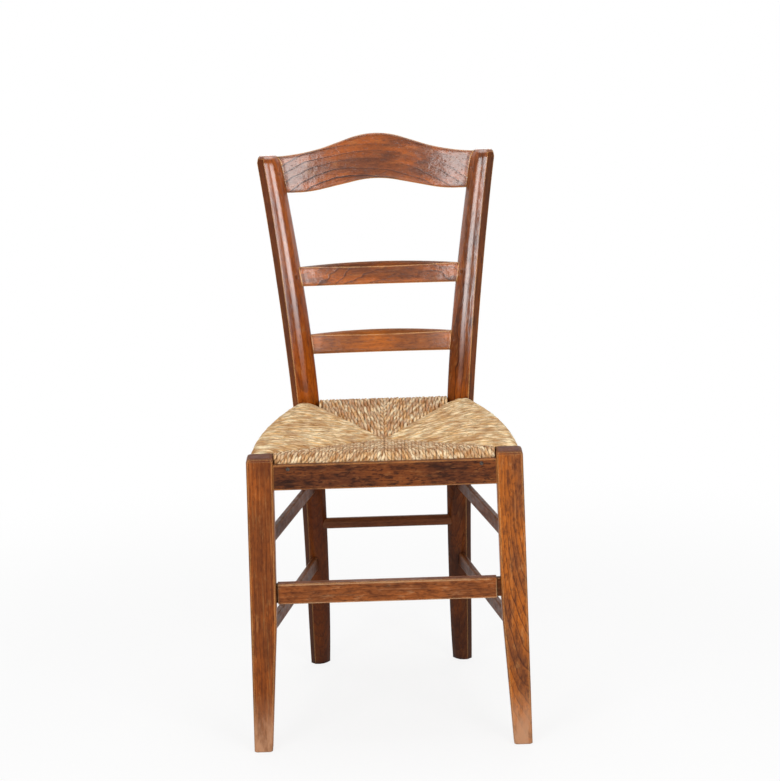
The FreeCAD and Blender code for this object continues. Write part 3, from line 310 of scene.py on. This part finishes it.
for name, settings in wood_settings.items():
    dress(name, wood(name + "_wood", **settings))


def nail_metal():
    g = Graph(bpy.data.materials.new("nail_metal"))
    place = g.place()
    rust = g.noise(place, 900.0, 3.0, 0.6)
    colour = g.mix(g.span(rust, 0.4, 0.65), srgb(92, 80, 72), srgb(48, 32, 24))
    soft = g.node("ShaderNodeBevel", {"Radius": 0.0006}, samples=4).outputs[0]
    bump = g.node("ShaderNodeBump", {"Height": rust, "Normal": soft, "Strength": 0.4, "Distance": 0.0002})
    rough = g.span(rust, 0.3, 0.7, 0.3, 0.6)
    shader = g.node("ShaderNodeBsdfPrincipled", {"Base Color": colour, "Metallic": 0.6, "Roughness": rough,
                                                 "Normal": bump.outputs[0]})
    return g.finish(shader.outputs[0])


def loose_straw():
    g = Graph(bpy.data.materials.new("loose_straw"))
    place = g.place()
    stalks = g.noise(g.vector("MULTIPLY", place, (1.0, 0.12, 1.0)), 420.0, 3.0, 0.6)
    colour = g.mix(g.span(stalks, 0.35, 0.65), srgb(110, 78, 42), srgb(196, 158, 98))
    bump = g.node("ShaderNodeBump", {"Height": stalks, "Strength": 0.8, "Distance": 0.002})
    shader = g.node("ShaderNodeBsdfPrincipled", {"Base Color": colour, "Roughness": 0.85,
                                                 "Normal": bump.outputs[0]})
    return g.finish(shader.outputs[0])


dress("apron_nails", nail_metal())
dress("rush_stuffing", loose_straw())

MM = 0.001
front_low, front_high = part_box("rush_front_panel")
rear_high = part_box("rush_rear_panel")[1]
left_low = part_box("rush_left_panel")[0]
RIM_TOP, RIM_BOTTOM = front_high.z, front_low.z
RUSH_FRONT, RUSH_REAR = front_low.y, rear_high.y
SEAM_Y = front_high.y
LEG_BACK = left_low.y
LEG_CORNER = front_high.x
POST_CORNER = rear_high.x
SEAT_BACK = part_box("rear_seat_rail")[0].y - 5 * MM
SIDE_EDGE = -left_low.x
POST_EDGE = 144.8 * MM
RAIL_DEPTH = 40 * MM            # from a rush edge to the inner face of its rail, about
DISH, LIFT = 17.5 * MM, 10 * MM
ROLL = 17 * MM
RIM_LEVEL = 23 * MM             # how far in from the rim the cords stay level
PITCH = 5.15 * MM               # from cord to cord
STRAIGHT_THICK, SIDE_THICK = 4.6 * MM, 4.3 * MM
STRAIGHT_OVERLAP, SIDE_OVERLAP = 1.16, 1.14
END_GAP = 0.4 * MM              # from the last cord to the end of its panel
SIDE_END = 3 * MM               # how far the side cords go on behind the seat's back edge
SEAM_GAP, SEAM_LAP = 0.6 * MM, 1.0 * MM
SEAM_TUCK = 0.5 * MM
run = SEAT_BACK - LEG_BACK
draw = SIDE_EDGE - POST_EDGE
SIDE_BOW = (run ** 2 + draw ** 2) / (2 * draw)
BOW_CENTRE = SIDE_BOW - SIDE_EDGE


def bezier(points, steps):
    """Points on a Bezier curve of any order, ends included."""
    t = np.linspace(0, 1, steps)[:, None]
    rows = [np.array(p, float)[None, :] * np.ones_like(t) for p in points]
    while len(rows) > 1:
        rows = [a * (1 - t) + b * t for a, b in zip(rows, rows[1:])]
    return rows[0]


def cord_line(reach, over, under, thick, puff, seam_drop):
    """One cord in its own plane, as (distance in from the rim, height): from the seam over the top, round the rail
    and back underneath. reach is how far in the seam is, over and under are the fall and rise of the surfaces
    there."""
    half = thick / 2
    top, bottom = RIM_TOP - half, RIM_BOTTOM + half
    middle = (RIM_TOP + RIM_BOTTOM) / 2
    roll = min(ROLL, reach * 0.7)
    dive = min(7 * MM, reach * 0.25)

    def inward(out):
        return np.clip((out - RIM_LEVEL) / max(reach - RIM_LEVEL, 1e-6), 0, 1)

    t = np.linspace(0, 1, 40)
    out = reach - dive - (reach - dive - roll) * t
    bulge = puff * np.sin(np.pi * np.clip(out / reach, 0, 1)) ** 0.8 * np.clip((out - roll) / (12 * MM), 0, 1)
    upper = np.stack([out, top - over * inward(out) + bulge], 1)
    seam_top = upper[0] + (dive, -seam_drop)
    plunge = bezier([seam_top + (SEAM_TUCK, -2.5 * MM), seam_top + (0.2 * dive, 0.4 * seam_drop),
                     upper[0] + (0.5 * dive, -0.02 * seam_drop), upper[0]], 8)
    rim = bezier([(roll, top), (half + 1.5 * MM, top + 0.6 * MM), (half, top - 9 * MM), (half, middle)], 14)
    rim_low = bezier([(half, middle), (half, bottom + 9 * MM), (half + 2 * MM, bottom), (roll, bottom)], 12)
    out = roll + (reach - dive - roll) * t
    lower = np.stack([out, bottom + under * inward(out)], 1)
    sink = bezier([lower[-1], lower[-1] + (0.6 * dive, 0), lower[-1] + (dive, 6 * MM)], 6)
    return np.concatenate([plunge[:-1], upper[:-1], rim[:-1], rim_low[:-1], lower[:-1], sink])


def evenly(line, fine, coarse):
    """Points along the line, closer together on its upper side than underneath."""
    step = np.linalg.norm(np.diff(line, axis=0), axis=1)
    length = np.concatenate([[0], np.cumsum(step)])
    turn = length[np.argmin(line[:, 0])]
    first = np.linspace(0, turn, max(6, int(turn / fine)), endpoint=False)
    last = np.linspace(turn, length[-1], max(5, int((length[-1] - turn) / coarse)))
    at = np.concatenate([first, last])
    return np.stack([np.interp(at, length, line[:, k]) for k in (0, 1)], 1), at


class Cords:
    """Twisted cords gathered into one mesh, with what the material needs to know at each point."""

    SIDES = 8
    RIM_SPREAD = 13 * MM        # how far from the rim the tight twist reaches
    WANDER = 0.13               # of the twist, in radians a step
    SWAY, HEAVE = 0.32 * MM, 0.3 * MM

    def __init__(self, seed, pitch, rim_pitch, twist_depth):
        self.rng = np.random.default_rng(seed)
        self.pitch, self.rim_pitch, self.twist_depth = pitch, rim_pitch, twist_depth
        self.points, self.quads, self.facts, self.maps = [], [], [], []
        self.total = 0
        self.rows = 0

    def add(self, line, at, origin, inward, across, width, height, hand):
        """line holds (distance in from the rim, height); inward is the level direction from the rim to the seam.
        The twist is tightest where the cord goes over the rail; hand is +1 or -1, its direction."""
        sides, rng = self.SIDES, self.rng
        n = len(line)
        tangent = np.gradient(line, axis=0)
        tangent /= np.linalg.norm(tangent, axis=1)[:, None]
        normal = np.stack([tangent[:, 1], -tangent[:, 0]], 1)
        near_rim = np.exp(-((at - at[np.argmin(line[:, 0])]) / self.RIM_SPREAD) ** 2)
        rate = 1 / self.pitch + (1 / self.rim_pitch - 1 / self.pitch) * near_rim
        turns = np.concatenate([[0], np.cumsum((rate[1:] + rate[:-1]) / 2 * np.diff(at))])
        phase = rng.uniform(0, 2 * math.pi) + 2 * math.pi * hand * turns * rng.uniform(0.7, 1.35)
        phase += np.cumsum(rng.normal(0, self.WANDER, n))

        def drift(knots, size):
            return np.interp(at, np.linspace(0, at[-1], knots), rng.normal(0, size, knots))

        slow, sway, heave = drift(9, 1), drift(13, self.SWAY), drift(11, self.HEAVE)
        angle = np.linspace(0, 2 * math.pi, sides, endpoint=False)
        turn = angle[None, :] - phase[:, None]
        lobe = 1 + self.twist_depth * (np.cos(2 * turn) - 0.25)
        swell = (1 + 0.05 * slow)[:, None]
        side_way = width / 2 * np.cos(angle)[None, :] * lobe * swell
        out_way = height / 2 * np.sin(angle)[None, :] * lobe * swell
        flat = line[:, None, :] + normal[:, None, :] * (out_way + heave[:, None])[:, :, None]
        spot = (np.array(origin)[None, None, :] + flat[:, :, :1] * np.array(inward)[None, None, :]
                + flat[:, :, 1:] * np.array((0, 0, 1.0))[None, None, :]
                + (side_way + sway[:, None])[:, :, None] * np.array(across)[None, None, :])
        first = self.total
        self.points.append(spot.reshape(-1, 3))
        ring = np.arange(sides)
        row = np.arange(n - 1)[:, None] * sides + first
        nxt = (ring + 1) % sides
        quads = np.stack([row + ring, row + nxt, row + sides + nxt, row + sides + ring], -1).reshape(-1, 4)
        self.quads.append(quads)
        self.facts.append(np.stack([
            np.repeat(at, sides), np.cos(turn).ravel(), np.sin(turn).ravel(),
            np.full(n * sides, rng.uniform()), np.repeat(slow, sides), np.cos(2 * turn).ravel()], 1))
        along = np.repeat(at[:-1], sides)
        along_next = np.repeat(at[1:], sides)
        low = np.tile(ring / sides, n - 1)
        high = np.tile((ring + 1) / sides, n - 1)
        self.maps.append(np.stack([np.stack([along, low], 1), np.stack([along, high], 1),
                                   np.stack([along_next, high], 1), np.stack([along_next, low], 1)], 1)
                         + np.array([0, self.rows])[None, None, :])
        self.rows += 1
        self.total += n * sides

    def ends(self):
        """The ring of points at each end of each cord, as a face that closes it."""
        rings, start = [], 0
        for block in self.points:
            n = len(block)
            rings.append(list(range(start, start + self.SIDES))[::-1])
            rings.append(list(range(start + n - self.SIDES, start + n)))
            start += n
        return rings

    def build(self, name, body, material, replaced):
        points = np.concatenate(self.points)
        quads = np.concatenate(self.quads)
        caps = self.ends()
        mesh = bpy.data.meshes.new(name)
        mesh.from_pydata(points.tolist(), [], quads.tolist() + caps)
        mesh.polygons.foreach_set("use_smooth", np.ones(len(mesh.polygons), bool))
        facts = np.concatenate(self.facts).astype(np.float32)
        for column, label in enumerate(("along", "cos", "sin", "tint", "slow", "ply")):
            layer = mesh.attributes.new("cord_" + label, "FLOAT", "POINT")
            layer.data.foreach_set("value", np.ascontiguousarray(facts[:, column]))
        places = np.concatenate(self.maps).reshape(-1, 2)
        longest = places[:, 0].max()
        places = np.stack([places[:, 0] / longest * 0.98 + 0.01, places[:, 1] / self.rows], 1)
        spare = np.tile((0.995, 0.5), (sum(len(cap) for cap in caps), 1))
        layer = mesh.uv_layers.new(name="OFBake")
        layer.data.foreach_set("uv", np.concatenate([places, spare]).astype(np.float32).ravel())
        mesh.materials.append(material)
        mesh.validate()
        made = bpy.data.objects.new(name, mesh)
        scene.collection.objects.link(made)
        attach(made, body)
        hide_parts(replaced)


TWO_TONE = 0.5                  # how far the second strand of a cord is darker


def rush(name, seed, pale, gold, brown, fleck_and_shade, fleck, shade, streaks):
    """Twisted rush: two strands of flattened leaves, one paler, with fibres that follow the twist. Its colours are
    given from 0 to 255. streaks stretches the patches of darker and paler leaves that run over several cords."""
    pale, gold, brown, fleck_and_shade = (srgb(*tint) for tint in (pale, gold, brown, fleck_and_shade))
    g = Graph(bpy.data.materials.new(name))
    along, cosine, sine, own, slow, ply = (
        g.attribute("cord_" + label) for label in ("along", "cos", "sin", "tint", "slow", "ply"))
    apart = g.math("MULTIPLY", own, 71.0)

    def field(along_scale, round_scale, offset):
        """Places on a cord, which run with its twist and differ from cord to cord."""
        made = g.node("ShaderNodeCombineXYZ")
        g.put(made.inputs[0], g.math("MULTIPLY", along, along_scale))
        g.put(made.inputs[1], g.math("MULTIPLY_ADD", cosine, round_scale, apart))
        g.put(made.inputs[2], g.math("MULTIPLY_ADD", sine, round_scale, offset + seed))
        return made.outputs[0]

    patches = g.noise(field(40.0, 0.25, 3.0), 1.0, 2.0, 0.6)
    fibres = g.noise(field(50.0, 3.2, 9.0), 1.0, 3.0, 0.65)
    flecks = g.noise(field(130.0, 1.6, 17.0), 1.0, 2.0, 0.6)
    place = g.place()
    region = g.noise(place, 24.0, 3.0, 0.6)
    drift = g.noise(g.vector("MULTIPLY", place, streaks), 1.0, 4.0, 0.7)
    tone = g.math("ADD", g.math("MULTIPLY", patches, 0.5), g.math("MULTIPLY", drift, 0.5))
    colour = g.mix(g.span(g.math("ADD", tone, g.math("MULTIPLY", slow, 0.03)), 0.4, 0.6), gold, pale)
    darker = g.math("MULTIPLY", g.math("MULTIPLY_ADD", own, 0.8, 0.5), TWO_TONE)
    second = g.math("MULTIPLY", g.span(cosine, -0.2, 0.6), darker, clamp=True)
    colour = g.mix(second, colour, brown)
    # Painted shade: the valleys between the strands of a cord, and the hollows that ambient occlusion finds, are
    # darkened by the share shade. The same dark colour also marks real dark flecks
    valley_shade = g.math("MULTIPLY", g.span(fibres, 0.62, 0.4, 0.25, 1.0), shade)
    occluded = g.node("ShaderNodeAmbientOcclusion", {"Distance": 0.005}, samples=6).outputs["AO"]
    for tint, share, pattern, low, high in (
            (brown, TWO_TONE, drift, 0.5, 0.38),
            (brown, fleck, region, 0.45, 0.72),
            (fleck_and_shade, fleck, flecks, 0.56, 0.72),
            (brown, 0.3, fibres, 0.5, 0.3),
            (fleck_and_shade, valley_shade, ply, 0.1, -0.8),
            (fleck_and_shade, shade, occluded, 0.55, 0.12)):
        colour = g.stain(colour, tint, share, pattern, low, high)
    height = g.math("ADD", fibres, g.math("MULTIPLY", flecks, 0.5))
    bump = g.node("ShaderNodeBump", {"Height": height, "Strength": 0.6, "Distance": 0.0007})
    shader = g.node("ShaderNodeBsdfPrincipled", {
        "Base Color": colour, "Roughness": 0.62, "Normal": bump.outputs[0],
        "Specular IOR Level": g.span(ply, -0.7, 0.4, 0.02, 0.25)})
    return g.finish(shader.outputs[0])


front_rush = rush("rush_front", 1.0, (255, 232, 192), (230, 182, 124), (168, 108, 58), (102, 60, 26),
                  fleck=0.55, shade=0.9, streaks=(300.0, 45.0, 120.0))
side_rush = rush("rush_side", 2.0, (255, 238, 198), (240, 196, 134), (168, 114, 62), (110, 66, 28),
                 fleck=0.7, shade=0.5, streaks=(45.0, 240.0, 160.0))
rear_rush = rush("rush_rear", 3.0, (255, 238, 200), (240, 190, 128), (172, 104, 44), (104, 58, 20),
                 fleck=0.6, shade=0.85, streaks=(300.0, 45.0, 120.0))


def straight_panel(name, seed, half_width, edge_y, direction, seam_of, fall_of, material, replaced, puff,
                   twist, rim_twist):
    """Cords that run front to back over a straight rail. direction is +1 where the seam is behind the rim."""
    cords = Cords(seed, twist, rim_twist, 0.15)
    longest = (165 if direction > 0 else 200) * MM
    count = int(round(2 * (half_width - END_GAP) / PITCH))
    spacing = 2 * (half_width - END_GAP) / count
    for i in range(count):
        x = -half_width + END_GAP + spacing * (i + 0.5)
        reach = abs(seam_of(x) - edge_y) - SEAM_GAP
        share = min(1.0, reach / longest)
        line = cord_line(reach, fall_of(x), LIFT * share, STRAIGHT_THICK, puff * share, seam_drop=5.0 * MM)
        line, at = evenly(line, fine=1.6 * MM, coarse=3.4 * MM)
        cords.add(line, at, origin=(x, edge_y, 0), inward=(0, direction, 0), across=(1, 0, 0),
                  width=spacing * STRAIGHT_OVERLAP, height=STRAIGHT_THICK, hand=1 if x < 0 else -1)
    cords.build(name, "root", material, replaced)


def front_seam(x):
    return SEAM_Y - (SEAM_Y - LEG_BACK) * abs(x) / LEG_CORNER


def rear_seam(x):
    return SEAM_Y + (SEAT_BACK - SEAM_Y) * abs(x) / POST_CORNER


def front_fall(x):
    return DISH * (1 - abs(x) / LEG_CORNER)


def rear_fall(x):
    return DISH * (1 - 0.86 * abs(x) / POST_CORNER)


straight_panel("rush_front_cords", 41, LEG_CORNER, RUSH_FRONT, 1, front_seam, front_fall,
               front_rush, "rush_front_panel", puff=1.5 * MM, twist=40 * MM, rim_twist=6 * MM)
straight_panel("rush_rear_cords", 42, POST_CORNER, RUSH_REAR, -1, rear_seam, rear_fall,
               rear_rush, "rush_rear_panel", puff=2.0 * MM, twist=58 * MM, rim_twist=12 * MM)


def side_panel(name, seed, side, replaced):
    """Cords that run in from the bowed side rail, square to its curve."""
    cords = Cords(seed, 40 * MM, 18 * MM, 0.12)
    bow_centre, seam_start = np.array((BOW_CENTRE, LEG_BACK)), np.array((0, SEAM_Y))
    first_angle = END_GAP / SIDE_BOW
    last_angle = math.asin((SEAT_BACK + SIDE_END - LEG_BACK) / SIDE_BOW)
    count = int(round((last_angle - first_angle) * SIDE_BOW / PITCH))
    step = (last_angle - first_angle) / count
    for i in range(count):
        angle = first_angle + step * (i + 0.5)
        direction = np.array((math.cos(angle), -math.sin(angle)))
        rim = bow_centre - SIDE_BOW * direction
        reaches = []
        for corner in ((-LEG_CORNER, LEG_BACK), (-POST_CORNER, SEAT_BACK)):
            seam = np.array(corner) - seam_start
            matrix = np.array([[direction[0], -seam[0]], [direction[1], -seam[1]]])
            distance, share = np.linalg.solve(matrix, seam_start - rim)
            if distance > 0 and -0.001 <= share <= 1.08:
                reaches.append(distance)
        reach = min(reaches, default=38 * MM)
        seam_x = rim[0] + direction[0] * reach
        fall = DISH * min(1.0, max(0.0, (SIDE_EDGE - RAIL_DEPTH * 0.7 + seam_x) / (SIDE_EDGE - RAIL_DEPTH)))
        share = min(1.0, reach / (110 * MM))
        line = cord_line(reach + SEAM_LAP, fall, LIFT * share, SIDE_THICK, 4.0 * MM * share, seam_drop=5.5 * MM)
        line, at = evenly(line, fine=1.9 * MM, coarse=3.6 * MM)
        cords.add(line, at, origin=(rim[0] * -side, rim[1], 0), inward=(direction[0] * -side, direction[1], 0),
                  across=(direction[1] * side, direction[0], 0), width=step * SIDE_BOW * SIDE_OVERLAP,
                  height=SIDE_THICK, hand=side if rim[1] < SEAM_Y else -side)
    cords.build(name, "root", side_rush, replaced)


side_panel("rush_left_cords", 43, -1, "rush_left_panel")
side_panel("rush_right_cords", 44, 1, "rush_right_panel")

FLOOR_SIZE, FLOOR_DROP = 60.0, 0.2 * MM
ROOM = 0.28                     # how bright the room is where it lights the chair


def floor():
    """Keeps the chair's shadow near it, and fades to the white of the background further off."""
    g = Graph(bpy.data.materials.new("pale_floor"))
    mesh = bpy.data.meshes.new("floor")
    corners = [(FLOOR_SIZE * x, FLOOR_SIZE * y, 0) for x, y in ((-1, -1), (1, -1), (1, 1), (-1, 1))]
    mesh.from_pydata(corners, [], [(0, 1, 2, 3)])
    made = bpy.data.objects.new("floor", mesh)
    scene.collection.objects.link(made)
    made.location.z = -FLOOR_DROP
    seen = g.node("ShaderNodeLightPath").outputs
    direct = g.math("ADD", seen["Is Camera Ray"], seen["Is Glossy Ray"], clamp=True)
    direct = g.math("ADD", direct, seen["Is Transmission Ray"], clamp=True)
    lit = g.node("ShaderNodeBsdfDiffuse", {"Color": (0.92, 0.92, 0.92, 1)}).outputs[0]
    glow = g.node("ShaderNodeEmission", {"Color": (1, 1, 1, 1), "Strength": 1.0}).outputs[0]
    far = g.vector("LENGTH", g.node("ShaderNodeNewGeometry").outputs["Position"], out=1)
    share = g.span(far, 0.5, 1.5, 0.84, 1.0)
    mixed = g.node("ShaderNodeMixShader", {0: g.math("MULTIPLY", direct, share), 1: lit, 2: glow})
    mesh.materials.append(g.finish(mixed.outputs[0]))


def sky():
    """White where it is seen directly, and in reflections the white backdrop behind and a dim room in front."""
    scene.world = bpy.data.worlds.new("studio")
    g = Graph(scene.world, "ShaderNodeOutputWorld")
    seen = g.node("ShaderNodeLightPath").outputs
    view = g.node("ShaderNodeTexCoord").outputs["Generated"]
    backdrop = g.span(g.node("ShaderNodeSeparateXYZ", {0: view}).outputs[1], -0.3, 0.3, 0.1, 1.0)
    level = g.math("MAXIMUM", seen["Is Camera Ray"], seen["Is Transmission Ray"])
    level = g.math("MAXIMUM", level, ROOM)
    level = g.node("ShaderNodeMix", {0: seen["Is Glossy Ray"], 2: level, 3: backdrop}).outputs[0]
    g.finish(g.node("ShaderNodeBackground", {"Color": (1, 1, 1, 1), "Strength": level}).outputs[0])


def lamp(name, place, target, size, power):
    data = bpy.data.lights.new(name, "AREA")
    data.shape = "RECTANGLE"
    data.size, data.size_y = size
    data.energy = power
    made = bpy.data.objects.new(name, data)
    scene.collection.objects.link(made)
    made.location = place
    aim = Vector(target) - Vector(place)
    made.rotation_euler = aim.to_track_quat("-Z", "Y").to_euler()


floor()
sky()
lamp("left_box", (-1.17, -2.2, 1.15), (0, 0, 0.6), (1.0, 1.4), 26)
lamp("right_box", (1.17, -2.2, 1.15), (0, 0, 0.6), (1.0, 1.4), 26)
lamp("overhead", (0, 0.1, 2.7), (0, 0, 0), (1.8, 1.8), 25)
lamp("rear_fill", (0.3, 2.6, 1.7), (0, 0, 0.5), (2.0, 1.4), 12)

# The camera was fitted to the photograph in millimetres from the front legs' front faces
LEG_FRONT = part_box("front_leg_left")[0].y
CAMERA_X, CAMERA_BACK, CAMERA_HEIGHT = 11.34 * MM, 3611.9 * MM, 1358.7 * MM
PITCH_DOWN, ROLL_ANGLE = math.radians(12.585), math.radians(-1.802)
FOCAL_PIXELS, PICTURE_HEIGHT, SENSOR = 2538.0, 781, 36.0


def camera():
    data = bpy.data.cameras.new("camera")
    data.sensor_width = SENSOR
    data.lens = FOCAL_PIXELS * SENSOR / PICTURE_HEIGHT
    data.clip_end = 200
    made = bpy.data.objects.new("camera", data)
    scene.collection.objects.link(made)
    right, up = Vector((1, 0, 0)), Vector((0, math.sin(PITCH_DOWN), math.cos(PITCH_DOWN)))
    ahead = Vector((0, math.cos(PITCH_DOWN), -math.sin(PITCH_DOWN)))
    c, s = math.cos(ROLL_ANGLE), math.sin(ROLL_ANGLE)
    rolled_right, rolled_up = c * right + s * up, c * up - s * right
    turn = Matrix((rolled_right, rolled_up, -ahead)).transposed()
    made.matrix_world = Matrix.Translation((CAMERA_X, LEG_FRONT - CAMERA_BACK, CAMERA_HEIGHT)) @ turn.to_4x4()
    scene.camera = made


camera()
